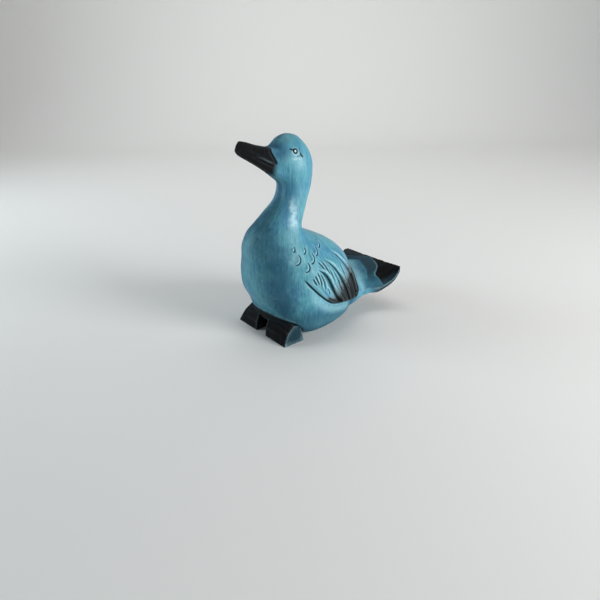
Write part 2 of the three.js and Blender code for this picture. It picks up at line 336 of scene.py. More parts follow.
def make_foot():
    def side_profile(x, places, heights, lean):
        top = [[x - lean * z / max(heights), y, z] for y, z in zip(places, heights)]
        outline = np.array([[x, 0, 0], *top, [x, FOOT_LENGTH, 0], [x, 0, 0]], float)
        return resampled(outline, FOOT_SIDES)[:-1]

    inner_places, inner_heights, outer_places, outer_heights = zip(*FOOT_PROFILE)
    inner = side_profile(FOOT_GAP / 2, inner_places, inner_heights, 0)
    outer = side_profile(FOOT_GAP / 2 + FOOT_WIDTH, outer_places, outer_heights, FOOT_LEAN)
    return solid_from_rings([inner + (outer - inner) * share for share in np.linspace(0, 1, FOOT_RINGS)])


def make_wing():
    """The part of the wing shell inside the wing's outline, from well inside the body outwards."""
    lower_edge = spline_points(WING_LOWER_EDGE, EDGE_STEPS)
    rear_edge = spline_points(WING_REAR_EDGE, EDGE_STEPS)
    outline = np.vstack([lower_edge, rear_edge, WING_HIDDEN_EDGE, lower_edge[:1]])
    outline = resampled(outline, WING_SIDES)[:-1]
    rings = [np.column_stack([np.full(len(outline), WING_INNER), outline])]
    for share in np.linspace(1, 0.01, WING_RINGS):
        y, z = (np.array(WING_MIDDLE) + (outline - WING_MIDDLE) * share).T
        rings.append(np.column_stack([np.maximum(flank(y, z, True), WING_INNER), y, z]))
    return solid_from_rings(rings)


def mesh_from_arrays(name, points, triangles):
    mesh = bpy.data.meshes.new(name)
    mesh.vertices.add(len(points))
    mesh.vertices.foreach_set("co", points.astype(np.float32).ravel())
    mesh.loops.add(triangles.size)
    mesh.loops.foreach_set("vertex_index", triangles.astype(np.int32).ravel())
    mesh.polygons.add(len(triangles))
    mesh.polygons.foreach_set("loop_start", np.arange(0, triangles.size, 3, dtype=np.int32))
    mesh.update(calc_edges=True)
    return mesh


def move_vertices(mesh, points):
    mesh.vertices.foreach_set("co", points.astype(np.float32).ravel())
    mesh.update()


def add_object(name, data):
    added = bpy.data.objects.new(name, data)
    bpy.context.scene.collection.objects.link(added)
    return added


def with_modifier(mesh, kind, **settings):
    """A copy of a mesh with one modifier applied."""
    holder = add_object("holder", mesh)
    modifier = holder.modifiers.new(kind.lower(), kind)
    for key, value in settings.items():
        setattr(modifier, key, value)
    depsgraph = bpy.context.evaluated_depsgraph_get()
    made = bpy.data.meshes.new_from_object(holder.evaluated_get(depsgraph), depsgraph=depsgraph)
    bpy.data.objects.remove(holder)
    return made


def make_blank():
    """Every part of the bird fused into one even skin."""
    foot = make_foot()
    wing = make_wing()
    solids = [make_trunk(), make_tail(), make_bill(), foot, mirrored(foot), wing, mirrored(wing)]
    points = []
    triangles = []
    count = 0
    for solid_points, solid_triangles in solids:
        points.append(solid_points)
        triangles.append(solid_triangles + count)
        count += len(solid_points)
    mesh = mesh_from_arrays("blank", np.vstack(points), np.vstack(triangles))
    return with_modifier(mesh, "REMESH", mode="VOXEL", voxel_size=VOXEL)


def vertex_array(mesh, kind="co"):
    flat = np.empty(3 * len(mesh.vertices), np.float32)
    if kind == "co":
        mesh.vertices.foreach_get("co", flat)
    else:
        mesh.vertex_normals.foreach_get("vector", flat)
    return flat.reshape(-1, 3).astype(float)


# The parts of the skin, and the hand-worked blends between them
TRUNK, WING, TAIL, BILL, FOOT = range(5)
# A point belongs to a part where it is this near the part's surface, and this far off the trunk.
NEAR = 0.7
PROUD = 0.35
# How far each blend reaches from its seam, and how many times it is smoothed.
TAIL_SEAM, TAIL_ROUNDS = 11, 160
BILL_SEAM, BILL_ROUNDS = 13, 120
WING_SEAM, WING_ROUNDS = 7, 90
TIP_ROUNDS = 15


def off_trunk(x, y, z):
    """About how far a point stands off the body, neck and head."""
    widest, half, ahead, behind = trunk_section(np.clip(z, 0, HEIGHT), False)
    across = np.abs(x) / half
    along = np.abs(y - widest) / np.where(y > widest, behind, ahead)
    return ((across**SQUARENESS + along**SQUARENESS) ** (1 / SQUARENESS) - 1) * half


def parts_of(points):
    """The part that each point belongs to."""
    x, y, z = points.T
    side = np.abs(x)
    top, underside = tail_skin(x, y)
    on_tail = (np.abs(z - top) < NEAR) | (np.abs(z - underside) < NEAR)
    on_tail &= (y > 90) & (z < 70) & (side < tail_half(y) + NEAR)
    parts = np.full(len(points), TRUNK)
    proud = off_trunk(x, y, z) > PROUD
    parts[proud & (side > 25) & (y > 25) & (y < 126) & (z > 30) & (z < 110)] = WING
    parts[proud & on_tail | (y > 133)] = TAIL
    parts[proud & (z > 165) & (y < 40)] = BILL
    parts[proud & (z < 33) & (y < 30) & (side > FOOT_GAP / 2 - NEAR)] = FOOT
    return parts


def relaxed(values, edges, weight, rounds):
    """Values pulled towards the mean of their neighbours, as far as each one's weight says."""
    active = np.flatnonzero(weight > 0)
    number = np.cumsum(weight > 0) - 1
    pairs = np.vstack([edges, edges[:, ::-1]])
    pairs = pairs[weight[pairs[:, 0]] > 0]
    owner = number[pairs[:, 0]]
    neighbour = pairs[:, 1]
    degree = np.bincount(owner, minlength=len(active))[:, None]
    pull = weight[active][:, None]
    values = values.copy()
    for _ in range(rounds):
        near = values[neighbour]
        total = np.stack([np.bincount(owner, column, len(active)) for column in near.T], axis=1)
        values[active] += pull * (total / degree - values[active])
    return values


def seam_weight(points, edges, parts, pair, radius):
    """1 on the seam between two parts, falling to 0 at a radius from it."""
    first, second = parts[edges].T
    crossing = (first == pair[0]) & (second == pair[1])
    crossing |= (first == pair[1]) & (second == pair[0])
    seam = points[np.unique(edges[crossing])]
    tree = KDTree(len(seam))
    for i, point in enumerate(seam):
        tree.insert(point, i)
    tree.balance()
    inside = (points > seam.min(axis=0) - radius) & (points < seam.max(axis=0) + radius)
    weight = np.zeros(len(points))
    near = np.flatnonzero(inside.all(axis=1))
    distance = np.array([tree.find(point)[2] for point in points[near]])
    weight[near] = smoothstep(radius, 0.3 * radius, distance)
    return weight


def blend_seams(points, edges):
    """Softens the seams as a knife and sandpaper do, and rounds the end of the bill."""
    parts = parts_of(points)
    y, z = points[:, 1], points[:, 2]
    all_over = np.full(len(points), 0.7)
    points = relaxed(points, edges, all_over, 2)
    tail = seam_weight(points, edges, parts, (TRUNK, TAIL), TAIL_SEAM)
    points = relaxed(points, edges, tail, TAIL_ROUNDS)
    bill = seam_weight(points, edges, parts, (TRUNK, BILL), BILL_SEAM)
    throat = smoothstep(202, 194, z)
    cheek = smoothstep(0.5, 3, y - bill_base(points[:, 0], z))
    points = relaxed(points, edges, bill * np.maximum(throat, cheek), BILL_ROUNDS)
    tip = smoothstep(-4, -9, y) * (z > 205)
    points = relaxed(points, edges, tip, TIP_ROUNDS)
    wing = seam_weight(points, edges, parts, (TRUNK, WING), WING_SEAM)
    shoulder = smoothstep(80, 92, z) * smoothstep(98, 90, y)
    shoulder += smoothstep(32, 28, y) * smoothstep(74, 80, z)
    return relaxed(points, edges, wing * np.minimum(shoulder, 1), WING_ROUNDS)


# Carving: how far each point of the skin is cut in or left proud


def along_path(y, z, path):
    """Distance from a path, positive above and behind it, and the share of the way along it."""
    points = spline_points(path, 6)
    lengths = np.linalg.norm(np.diff(points, axis=0), axis=1)
    starts = np.concatenate([[0], np.cumsum(lengths)[:-1]])
    nearest = np.full(len(y), np.inf)
    side = np.ones(len(y))
    share = np.zeros(len(y))
    for a, b, length, start in zip(points, points[1:], lengths, starts):
        step = (b - a) / length
        way = np.clip((y - a[0]) * step[0] + (z - a[1]) * step[1], 0, length)
        dy = y - a[0] - way * step[0]
        dz = z - a[1] - way * step[1]
        distance = np.hypot(dy, dz)
        closer = distance < nearest
        nearest = np.where(closer, distance, nearest)
        side = np.where(closer, np.where(step[0] * dz > step[1] * dy, 1, -1), side)
        share = np.where(closer, (start + way) / lengths.sum(), share)
    return nearest * side, share


# Long feather grooves from front to back: path, depth, and width at the top and at the tip.
LOW_GROOVE = [[46, 87.2], [55, 79.8], [59.2, 73.5], [62.5, 65], [67, 55], [72.5, 46], [78, 40]]
MIDDLE_GROOVE = [[57.5, 95.5], [64.5, 90.7], [71, 84], [77.5, 74.5], [83.5, 63.5], [89, 53], [95.5, 38]]
HIGH_GROOVE = [[73, 101], [82.5, 94.3], [89.5, 86], [96, 76], [102, 65], [107, 54], [111, 41]]
LONG_GROOVES = [
    (LOW_GROOVE, 2.6, 0.7, 2.1),
    (MIDDLE_GROOVE, 2.0, 0.7, 1.5),
    (HIGH_GROOVE, 1.7, 0.5, 1.5),
]
# Fine cuts that show the barbs, the bold ones before the rest.
BARBS = [
    [[37.4, 78.5], [39.4, 73.5], [41.3, 69.7]],
    [[40.6, 81.9], [42.3, 75.9], [44.6, 69.6]],
    [[44.5, 84.6], [46.2, 77.9], [47.1, 71.9], [46.9, 66]],
    [[48.1, 82.7], [50.4, 74.2], [51.5, 68], [51.8, 60.6]],
    [[49.7, 94.2], [53, 89], [55, 84.4]],
    [[55, 93.6], [57.5, 88.7], [60.4, 82], [62.2, 76.9]],
    [[68.6, 79.9], [71.8, 73.2], [74.4, 67.8], [77.1, 60.8]],
    [[49.3, 79.9], [52.1, 72.3], [53.4, 64.4], [54.7, 57.9]],
    [[55, 64.7], [57.1, 59.1], [59.1, 54.3]],
    [[60.8, 88.5], [63.5, 81.2], [66.4, 72.9], [68.6, 66.3]],
    [[72.7, 69.4], [75.3, 62.6], [79.7, 53.4]],
    [[82.3, 85.1], [84.8, 77.5], [87.3, 69.7]],
    [[85.8, 64.2], [90.3, 56.3], [94.1, 48.2]],
]
BOLD_BARBS = 7
# Middle place, middle height and radius of the shoulder feathers.
SHOULDER_FEATHERS = [
    [23.4, 111.8, 3.1],
    [35.4, 108.9, 3.9],
    [60, 111.7, 4.8],
    [50.9, 105.4, 4.8],
    [22.9, 101.5, 6.6],
    [41.2, 100, 5.9],
    [31.6, 92.3, 5.8],
]
# Middle of the eye: place and height.
EYE = (44, 213.4)


def value_noise(coordinates, seed):
    """Smooth noise from -1 to 1 over points of any number of dimensions."""
    size = 64
    coordinates = np.array(coordinates, float)
    lattice = np.random.default_rng(seed).uniform(-1, 1, (size,) * len(coordinates))
    base = np.floor(coordinates).astype(int)
    share = coordinates - base
    share = share * share * (3 - 2 * share)
    total = 0
    for corner in np.ndindex(*(2,) * len(coordinates)):
        index = tuple((base[axis] + corner[axis]) % size for axis in range(len(coordinates)))
        weight = 1
        for axis, end in enumerate(corner):
            weight = weight * (share[axis] if end else 1 - share[axis])
        total = total + weight * lattice[index]
    return total


def carve_wing(y, z):
    """The wing's feathers: each long one has a crisp proud front edge and sinks under the next."""
    cut = np.zeros(len(y))
    lower_distance, lower_share = along_path(y, z, WING_LOWER_EDGE)
    borders = [lower_distance]
    for path, depth, top_width, tip_width in LONG_GROOVES:
        distance, share = along_path(y, z, path)
        reach = smoothstep(0, 0.25, share)
        width = top_width + (tip_width - top_width) * share
        lip = 1.1 * hump(distance - width - 1.3, 1.5) * smoothstep(1, 0.5, share)
        cut += reach * (lip - depth * hump(distance, width) - 0.6 * hump(distance + width + 1.6, 2.2))
        borders.append(distance)
    rear_distance = along_path(y, z, WING_REAR_EDGE[::-1])[0]
    borders.append(rear_distance)
    inside = smoothstep(0, 0.12, lower_share) * smoothstep(0, 2, lower_distance)
    inside *= smoothstep(0, -2, rear_distance) * smoothstep(100, 84, z)
    for i, (front, rear) in enumerate(zip(borders, borders[1:])):
        within = (front > 0) & (rear < 0)
        share = np.where(within, front / np.maximum(front - rear, 1e-6), 0)
        lines = value_noise([7 * share + 20 * i, z / 16 + 3 * i], 5 + i)
        cut += within * inside * (0.5 * np.sin(np.pi * share) ** 0.7 + 0.4 * lines)
    for i, path in enumerate(BARBS):
        distance, share = along_path(y, z, path)
        strength = 1.0 if i < BOLD_BARBS else 0.6
        reach = strength * smoothstep(-0.02, 0.25, share) * smoothstep(1.02, 0.7, share)
        cut += reach * (0.6 * hump(distance - 1.7, 1) - 1.2 * hump(distance, 0.8))
    return cut


def carve_wing_edge(y, z):
    """A V-shaped cut in the flank right below the wing, with its outer lip left a little proud."""
    distance, share = along_path(y, z, WING_LOWER_EDGE + WING_REAR_EDGE[:1])
    reach = smoothstep(0, 0.12, share)
    below = -distance
    return reach * (0.35 * hump(below - 5, 2.6) - 1.4 * hump(below - 0.8, 1.3))


def carve_shoulder(y, z):
    """Small hooked cuts round the rear and lower edge of each feather, which stands proud there."""
    cut = np.zeros(len(y))
    for centre_y, centre_z, radius in SHOULDER_FEATHERS:
        dy, dz = y - centre_y, z - centre_z
        angle = np.degrees(np.arctan2(dz, dy))
        reach = smoothstep(48, 10, angle) * smoothstep(-112, -70, angle)
        beyond = np.hypot(dy, dz) - radius
        cut += reach * (0.5 * hump(beyond + 1.7, 1.2) - 1.25 * hump(beyond, 0.8))
    return cut


# Lines round the eye: path, depth, width and darkness.
EYE_CUTS = [
    ([[38.7, 215.7], [40.4, 215.2], [41.8, 214.5]], 0.6, 0.65, 0.9),
    ([[50.2, 216.2], [49.9, 213.6], [50.2, 211]], 0.4, 0.4, 0.35),
    ([[50.2, 210.5], [50.9, 208.8], [52.4, 207.2]], 0.8, 0.75, 0.9),
    ([[50, 208.8], [48, 208.1], [45.3, 207.9]], 0.3, 0.35, 0.4),
]


def carve_eye(y, z):
    """A ring cut round the pupil, a pointed front corner and a hooked crescent behind."""
    radius = np.hypot(y - EYE[0], z - EYE[1])
    cut = 0.4 * hump(radius, 1.3) - 0.6 * hump(radius - 2.2, 0.8) + 0.15 * hump(radius - 4.2, 1)
    for path, depth, width, _ in EYE_CUTS:
        distance, share = along_path(y, z, path)
        cut -= depth * smoothstep(-0.1, 0.2, share) * hump(distance, width)
    return cut


# Bill: where black meets blue on its side, as heights and places, and the ridge above the mouth, as
# places and heights.
BILL_BASE = [[192, 23], [201.5, 22.4], [207, 20.1], [211.4, 17.9], [215.6, 16.2], [222, 16.2]]
BILL_RIDGE = [[-2, 212], [5.5, 209], [11, 206], [17.5, 202.8], [21, 201.4]]


def bill_base(x, z):
    """The place where the bill meets the face, further back on top at the middle."""
    side_place = column_curve(BILL_BASE, 1)(z)
    return side_place + 3.5 * smoothstep(11, 0, np.abs(x)) * smoothstep(209, 215, z)


def carve_bill(x, y, z):
    """A V-shaped cut where the bill meets the face, and the line of the mouth below its ridge."""
    distance = y - bill_base(x, z)
    reach = smoothstep(199, 203, z)
    cut = reach * (0.2 * hump(distance + 2.6, 1.1) - 1.2 * hump(distance, 1.2))
    below_ridge = column_curve(BILL_RIDGE, 1)(y) - z
    reach = smoothstep(-4, 9, y) * smoothstep(21.5, 19, y) * smoothstep(5, 8, np.abs(x))
    return cut + reach * (0.4 * hump(below_ridge, 1) - 1.3 * hump(below_ridge - 2.4, 1.4))


# Tail, as distances to the left and places: where its black rear feathers start, where its dark
# middle feathers start, and the rubbed hollow of its root.
TAIL_BLACK_BORDER = [
    [-62, 184.5], [-45, 185.4], [-32, 186], [-23, 187.5], [-15, 192.5], [-4.5, 194.3], [11.3, 187],
    [20.7, 181.8], [25, 176], [28.5, 169.8], [36.5, 169.6], [44, 168.5], [60, 167],
]
TAIL_DARK_BORDER = [
    [-62, 178], [-27, 177.5], [-12, 177.5], [0, 172], [10.9, 168], [21.3, 161], [28, 154], [34, 147],
]
TAIL_ROOT = [[-28, 174.5], [-13, 165], [1, 157], [15, 149], [27, 141.5], [36, 136]]


def carve_tail(x, y, is_top):
    """Overlapping feather layers on top, and shallow cuts that fan out on both faces."""
    flat_y = y + tail_bow(x, y)
    into_black, _ = along_path(x, flat_y, TAIL_BLACK_BORDER)
    into_dark, _ = along_path(x, flat_y, TAIL_DARK_BORDER)
    root = smoothstep(0, 5, into_black)
    fan = np.degrees(np.arctan2(np.abs(x), y - 105))
    rays = value_noise([fan / 2.6, y / 60], 21)
    cut = -0.3 * root * smoothstep(0, 0.6, rays)
    step = 0.8 * smoothstep(0.8, -0.8, into_black) * smoothstep(158, 168, y)
    step += 0.45 * smoothstep(0.8, -0.8, into_dark) * smoothstep(150, 160, y)
    return cut + is_top * step


def carve(points, normals):
    x, y, z = points.T
    side = np.abs(x)
    outward = normals[:, 0] * np.sign(x)
    cut = np.zeros(len(points))

    flank_skin = (side > 12) & (outward > 0.12) & (y > 15) & (y < 126) & (z > 25) & (z < 120)
    fade = smoothstep(0.12, 0.35, outward[flank_skin])
    flank_y, flank_z = y[flank_skin], z[flank_skin]
    shell = flank(flank_y, flank_z, True)
    on_wing = smoothstep(-1.2, -0.2, side[flank_skin] - shell)
    lower, _ = along_path(flank_y, flank_z, WING_LOWER_EDGE)
    above_edge = smoothstep(-0.5, 0.5, lower)
    feathers = carve_wing(flank_y, flank_z) * above_edge
    feathers += carve_wing_edge(flank_y, flank_z) * (1 - above_edge)
    cut[flank_skin] += fade * (feathers * np.where(above_edge > 0.5, on_wing, 1))
    cut[flank_skin] += fade * carve_shoulder(flank_y, flank_z)

    cheek = (side > 8) & (z > 200) & (y > 33) & (y < 60)
    cut[cheek] += carve_eye(y[cheek], z[cheek])
    face = (z > 195) & (y > -6) & (y < 32)
    cut[face] += carve_bill(x[face], y[face], z[face])
    tail = (y > 130) & (np.abs(normals[:, 2]) > 0.25) & (z > 15)
    cut[tail] += carve_tail(x[tail], y[tail], normals[tail, 2] > 0)

    knife = value_noise([x / 9, y / 9, z / 22], 31) + 0.5 * value_noise([x / 4, y / 4, z / 13], 32)
    return cut + 0.09 * knife


# Paint: where each colour lies, painted shade and painted highlights among them, as a value from 0 to 1
# on every point of the skin

# The line below which the wing's tips darken, and how far below it they are full.
TIP_START = [[45, 47], [52, 53], [58, 58], [66, 70], [76, 78], [88, 86], [98, 93], [112, 100]]
TIP_DEPTH = 38
# The line where the black of the feet ends on the breast: distance from the middle, and height.
FEET_LINE = [[0, 32], [14, 31], [25, 29], [36, 25.5], [44, 21.5], [47, 16]]

# The painted shade on neck and breast, partly a thin dark coat of paint: the way round from the front,
# in degrees, at each height.
SHADE_BAND_ANGLE = [[0, 45], [65, 42], [90, 38], [110, 30], [125, 20], [150, 5], [HEIGHT, 5]]


def paint_shade_and_wash(x, y, z, wobble):
    """Painted shade, partly a thin dark coat of paint, on the front, towards the base, on top of the
    head and behind the bill, and painted highlights on the neck and cheek.
    """
    around = np.degrees(np.arctan2(np.abs(x), AXIS_PLACE - y)) + 6 * wobble
    # Painted shade, partly a thin dark coat of paint, on the front and in a band round the neck and
    # breast.
    band = hump(around - column_curve(SHADE_BAND_ANGLE, 1)(z), 18 - 4 * smoothstep(110, 135, z))
    shade_and_wash = 0.2 * smoothstep(75, 45, around) * smoothstep(165, 125, z)
    shade_and_wash += (0.85 + 0.08 * smoothstep(115, 135, z)) * band
    # Painted shade towards the base.
    shade_and_wash = np.maximum(shade_and_wash, smoothstep(53, 25, z) * smoothstep(131, 118, y))
    # Painted shade on top of the head.
    shade_and_wash = np.maximum(shade_and_wash, 0.3 * smoothstep(214, 224, z))
    # Painted shade on the face behind the bill.
    shade_and_wash = np.maximum(shade_and_wash, 1.1 * hump(y - 25, 10) * hump(z - 215, 12))
    # Painted highlight: a bright streak down the side of the neck and the breast.
    streak = 0.85 * smoothstep(126, 140, z) * smoothstep(170, 154, z)
    streak += 0.25 * smoothstep(90, 100, z) * smoothstep(140, 128, z)
    streak *= hump(around - 60, 9)
    # Painted highlight on the cheek.
    cheek = 0.42 * hump(np.hypot(y - 50, z - 200), 8) * (np.abs(x) > 8)
    blotches = value_noise([x / 8, y / 8, z / 11], 42)
    return np.clip(shade_and_wash + 0.1 * blotches, 0, 1), np.maximum(streak, cheek)


def paint_wing(x, y, z, wobble):
    """The dark tips of the long feathers, the black rim round them and a painted highlight on the band
    below them.
    """
    lower, _ = along_path(y, z, WING_LOWER_EDGE + WING_REAR_EDGE[:1])
    side = np.abs(x)
    on_wing = (side > 20) & (y > 24) & (y < 126) & (z > 28) & (z < 112) & (lower > -0.5)
    on_wing &= (side > flank(y, z, True) - 3.2) & (along_path(y, z, WING_REAR_EDGE[::-1])[0] < 0.8)
    tip_line = column_curve(TIP_START, 1)(y)
    tips = on_wing * smoothstep(0, TIP_DEPTH, tip_line - z + 3 * wobble) * smoothstep(48, 56, y)
    rim = on_wing * smoothstep(4.4, 2.6, lower + 0.4 * wobble) * smoothstep(52, 60, y)
    # Painted highlight on the flank below the wing.
    below = hump(lower + 8, 5) * (side > 20) * smoothstep(30, 40, y) * smoothstep(112, 90, y)
    return np.maximum(tips, rim), 0.85 * rim, 0.55 * below


def paint_tail(x, y, z, normals, wobble):
    """Black rear feathers, rear edge and underside, dark middle feathers, painted shade on the side
    faces, rubbed spots and a painted highlight along the root.
    """
    flat_y = y + tail_bow(x, y)
    into_black, _ = along_path(x, flat_y, TAIL_BLACK_BORDER)
    into_dark, _ = along_path(x, flat_y, TAIL_DARK_BORDER)
    from_root, _ = along_path(x, flat_y, TAIL_ROOT)
    on_tail = smoothstep(131, 138, y)
    on_top = on_tail * smoothstep(-0.1, 0.3, normals[:, 2])
    inward = tail_half(flat_y) - np.abs(x)
    near_rim = smoothstep(10, 2, inward) * smoothstep(192, 182, flat_y)
    black = on_top * smoothstep(-0.6, 0.9, into_black + 0.5 * wobble) * (1 - 0.5 * near_rim)
    below = on_tail * smoothstep(0.15, -0.3, normals[:, 2]) * smoothstep(145, 165, y)
    down = (tail_side(flat_y) - z) / tail_thickness(flat_y)
    # Painted shade: the side faces of the tail darken, to black towards their lower edge.
    side_face = on_tail * smoothstep(0.4, 0.75, np.abs(normals[:, 0])) * (inward < 2.5)
    side_black = side_face * smoothstep(0.3, 0.6, down) * smoothstep(150, 168, y)
    rear_face = smoothstep(0.2, 0.5, normals[:, 1]) * smoothstep(180, 187, y)
    deep = smoothstep(-1, 2.5, into_dark) * (0.2 + 0.8 * smoothstep(38, 17, x))
    dusk = on_top * np.maximum(deep, smoothstep(-0.6, 0.9, into_black)) * smoothstep(138, 152, y)
    # Painted shade on the side faces.
    dusk = np.maximum(dusk, 0.85 * side_face * smoothstep(140, 165, y))
    # Darker on the tail's top, more so towards the border of its dark middle feathers.
    shade_and_wash = on_top * (0.25 + 0.5 * smoothstep(-13, 0, into_dark))
    # Painted highlight along the tail's root.
    wear_and_highlight = 0.5 * on_top * hump(from_root, 5) * smoothstep(0, 3, -into_dark)
    wear_and_highlight = np.maximum(wear_and_highlight, 0.5 * side_face * hump(down - 0.12, 0.16) * smoothstep(150, 165, y))
    wear_and_highlight = np.maximum(wear_and_highlight, 0.1 * on_top * near_rim * smoothstep(160, 168, y))
    line = hump(into_black + 0.8, 0.7) * smoothstep(4, 12, x) * smoothstep(36, 30, x)
    wear_and_highlight = np.maximum(wear_and_highlight, 0.3 * on_top * line)
    wear_and_highlight = np.maximum(wear_and_highlight, 0.28 * on_top * smoothstep(5, -25, x) * smoothstep(0, 2, into_black))
    return np.maximum.reduce([black, below, side_black, rear_face]), dusk, shade_and_wash, wear_and_highlight


def paint_feet(points, normals, edges, wobble):
    """Black feet and the black breast between them, with their outer faces rubbed back."""
    x, y, z = points.T
    side = np.abs(x)
    foot = (parts_of(points) == FOOT).astype(float)[:, None]
    foot = relaxed(foot, edges, np.ones(len(points)), 3)[:, 0]
    past_line = z - column_curve(FEET_LINE, 1)(side) + 0.25 * wobble
    breast = smoothstep(0.7, -0.7, past_line) * smoothstep(33, 31, y) * smoothstep(46.5, 44.5, side)
    outer = foot * smoothstep(0.6, 0.85, normals[:, 0] * np.sign(x)) * (side > 40)
    wear_and_highlight = outer * (0.9 * hump(y - 2, 2) * smoothstep(12, 2, z) + 0.5 * hump(z - 0.5, 1.3))
    wear_and_highlight += outer * 0.6 * hump(y - 27.5, 1.6) * smoothstep(12, 3, z)
    wear_and_highlight += 0.35 * hump(past_line - 1.6, 0.9) * smoothstep(26, 20, y) * (side < 44) * (z > 20)
    return np.maximum(foot * (1 - 0.25 * outer), breast * (1 - foot)), wear_and_highlight


def paint_bill(x, y, z, wobble):
    """The black bill, which fades into the throat, with a painted highlight, partly rubbed paint, on its
    ridge, and its rubbed rear corner.
    """
    fade = 0.5 + 3.5 * smoothstep(203, 196, z)
    past_base = y - bill_base(x, z)
    black = smoothstep(1, -1, (past_base + 0.3 * wobble) / fade) * smoothstep(170, 182, z)
    groove = hump(past_base, 1.3) * smoothstep(199, 203, z)
    on_side = (np.abs(x) > 7) & (y < 24) & (z > 195)
    # Painted highlight, partly rubbed paint, along the ridge above the mouth.
    ridge = hump(z - column_curve(BILL_RIDGE, 1)(y), 1.1)
    ridge = ridge * smoothstep(-4, 12, y) * smoothstep(20, 17, y)
    corner = hump(np.hypot(y - 20, z - 200.3), 1.7)
    rear = 0.12 * hump(past_base + 2.8, 0.9) * smoothstep(203, 206, z)
    wear_and_highlight = on_side * np.maximum.reduce([0.75 * ridge, 0.7 * corner, rear])
    return np.maximum(black, groove), wear_and_highlight


def paint_eye(x, y, z):
    """The dark ring and lines of the eye, and the pale pupil and flecks round it."""
    radius = np.hypot(y - EYE[0], z - EYE[1])
    near = (np.abs(x) > 8) & (z > 200) & (radius < 14)
    dark = 0.9 * smoothstep(3.2, 2.6, radius) * smoothstep(0.9, 1.4, radius)
    for path, _, width, darkness in EYE_CUTS:
        distance, _ = along_path(y, z, path)
        dark = np.maximum(dark, darkness * smoothstep(1.8 * width, 0.9 * width, np.abs(distance)))
    pupil = 0.9 * smoothstep(1.4, 0.9, np.hypot(1.2 * (y - EYE[0]), 0.9 * (z - EYE[1])))
    below = 0.4 * hump(y - 43, 3) * hump(z - 205.5, 1.2)
    below += 0.3 * hump(y - 49, 2) * hump(z - 205, 1.2)
    pale = pupil + 0.35 * hump(radius - 4.1, 0.8) * smoothstep(216, 210, z) + below
    return near * dark, near * pale * (1 - dark), near * smoothstep(14, 6, radius)


def paint_masks(points, normals, edges, relief):
    """Every layer of the paint by name, painted shade and painted highlights among them, which the
    material reads as attributes of the mesh.
    """
    x, y, z = points.T
    wobble = value_noise([x / 3, y / 3, z / 3], 41)
    shade_and_wash, neck_highlight = paint_shade_and_wash(x, y, z, wobble)
    tips, wing_rim, band_highlight = paint_wing(x, y, z, wobble)
    tail_black, dusk, tail_shade_and_wash, tail_wear_and_highlight = paint_tail(x, y, z, normals, wobble)
    foot_black, foot_rub = paint_feet(points, normals, edges, wobble)
    bill_black, bill_highlight_and_wear = paint_bill(x, y, z, wobble)
    eye_dark, pale, near_eye = paint_eye(x, y, z)
    # The painted neck highlight also turns pale where it is brightest.
    pale = np.maximum(pale, 0.3 * neck_highlight**2)

    all_over = np.ones(len(points))
    blurred = relaxed(points, edges, all_over, 5)
    bend = ((blurred - points) * normals).sum(axis=1)
    wide_bend = ((relaxed(blurred, edges, all_over, 24) - points) * normals).sum(axis=1)
    # Painted shade with dark staining in the cuts, creases and broad hollows.
    cut = smoothstep(-0.22, -0.95, relief)
    cavity = np.maximum(cut, np.clip(bend / 0.12, 0, 1) * 0.6 + np.clip(wide_bend / 0.5, 0, 1) * 0.5)
    edge_rub = 0.25 * smoothstep(0.35, 1, relief) * (y < 128)
    edge_rub += np.clip(-bend / 0.14, 0, 1) * 0.42 + np.clip(-wide_bend / 0.7, 0, 1) * 0.2
    face = smoothstep(-1, 1, y - bill_base(x, z)) * hump(y - bill_base(x, z), 6) * (z > 198)
    edge_rub *= 1 - 0.85 * np.maximum(near_eye, face)
    edge_rub *= 1 - np.maximum(0.7 * bill_black, 0.88 * smoothstep(133, 145, y))

    # Rubbed edges and spots, and painted highlights on the neck, cheek, flank, tail root and bill ridge.
    wear_and_highlights = [edge_rub, neck_highlight, band_highlight, tail_wear_and_highlight, foot_rub, bill_highlight_and_wear]
    return {
        "black": np.maximum.reduce([bill_black, foot_black, tail_black, wing_rim, eye_dark]),
        "tips": tips,
        "dusk": dusk,
        "shade_and_wash": np.maximum(shade_and_wash, tail_shade_and_wash),
        "cavity": np.clip(cavity, 0, 1),
        "wear_and_highlight": np.clip(np.maximum.reduce(wear_and_highlights), 0, 1),
        "pale": np.clip(pale, 0, 1),
    }


def make_duck():
    """The blank, blended, carved and painted, as one piece in metres."""
    mesh = make_blank()
    edges = np.empty(2 * len(mesh.edges), np.int32)
    mesh.edges.foreach_get("vertices", edges)
    edges = edges.reshape(-1, 2)
    points = blend_seams(vertex_array(mesh), edges)
    move_vertices(mesh, points)
    normals = vertex_array(mesh, "normal")
    relief = carve(points, normals)
    points = points + relief[:, None] * normals
    points[:, 2] = np.maximum(points[:, 2], 0)
    move_vertices(mesh, points)
    normals = vertex_array(mesh, "normal")
    for name, values in paint_masks(points, normals, edges, relief).items():
        attribute = mesh.attributes.new(name, "FLOAT", "POINT")
        attribute.data.foreach_set("value", values.astype(np.float32))
    mesh = with_modifier(mesh, "DECIMATE", ratio=FINISHED_TRIANGLES / (2 * len(mesh.polygons)))
    mesh.polygons.foreach_set("use_smooth", np.ones(len(mesh.polygons), bool))
    move_vertices(mesh, vertex_array(mesh) * UNIT + [0, TOE_LINE, 0])
    return add_object("carved_duck", mesh)


# Materials

TEAL_DEEP, TEAL_BRIGHT = "30708c", "6db4ca"
PATCH_BLUE, PATCH_GREEN = "4486ab", "4b9598"
BRUSHED_LIGHT, BRUSHED_GAP = "94ced9", "1f5772"
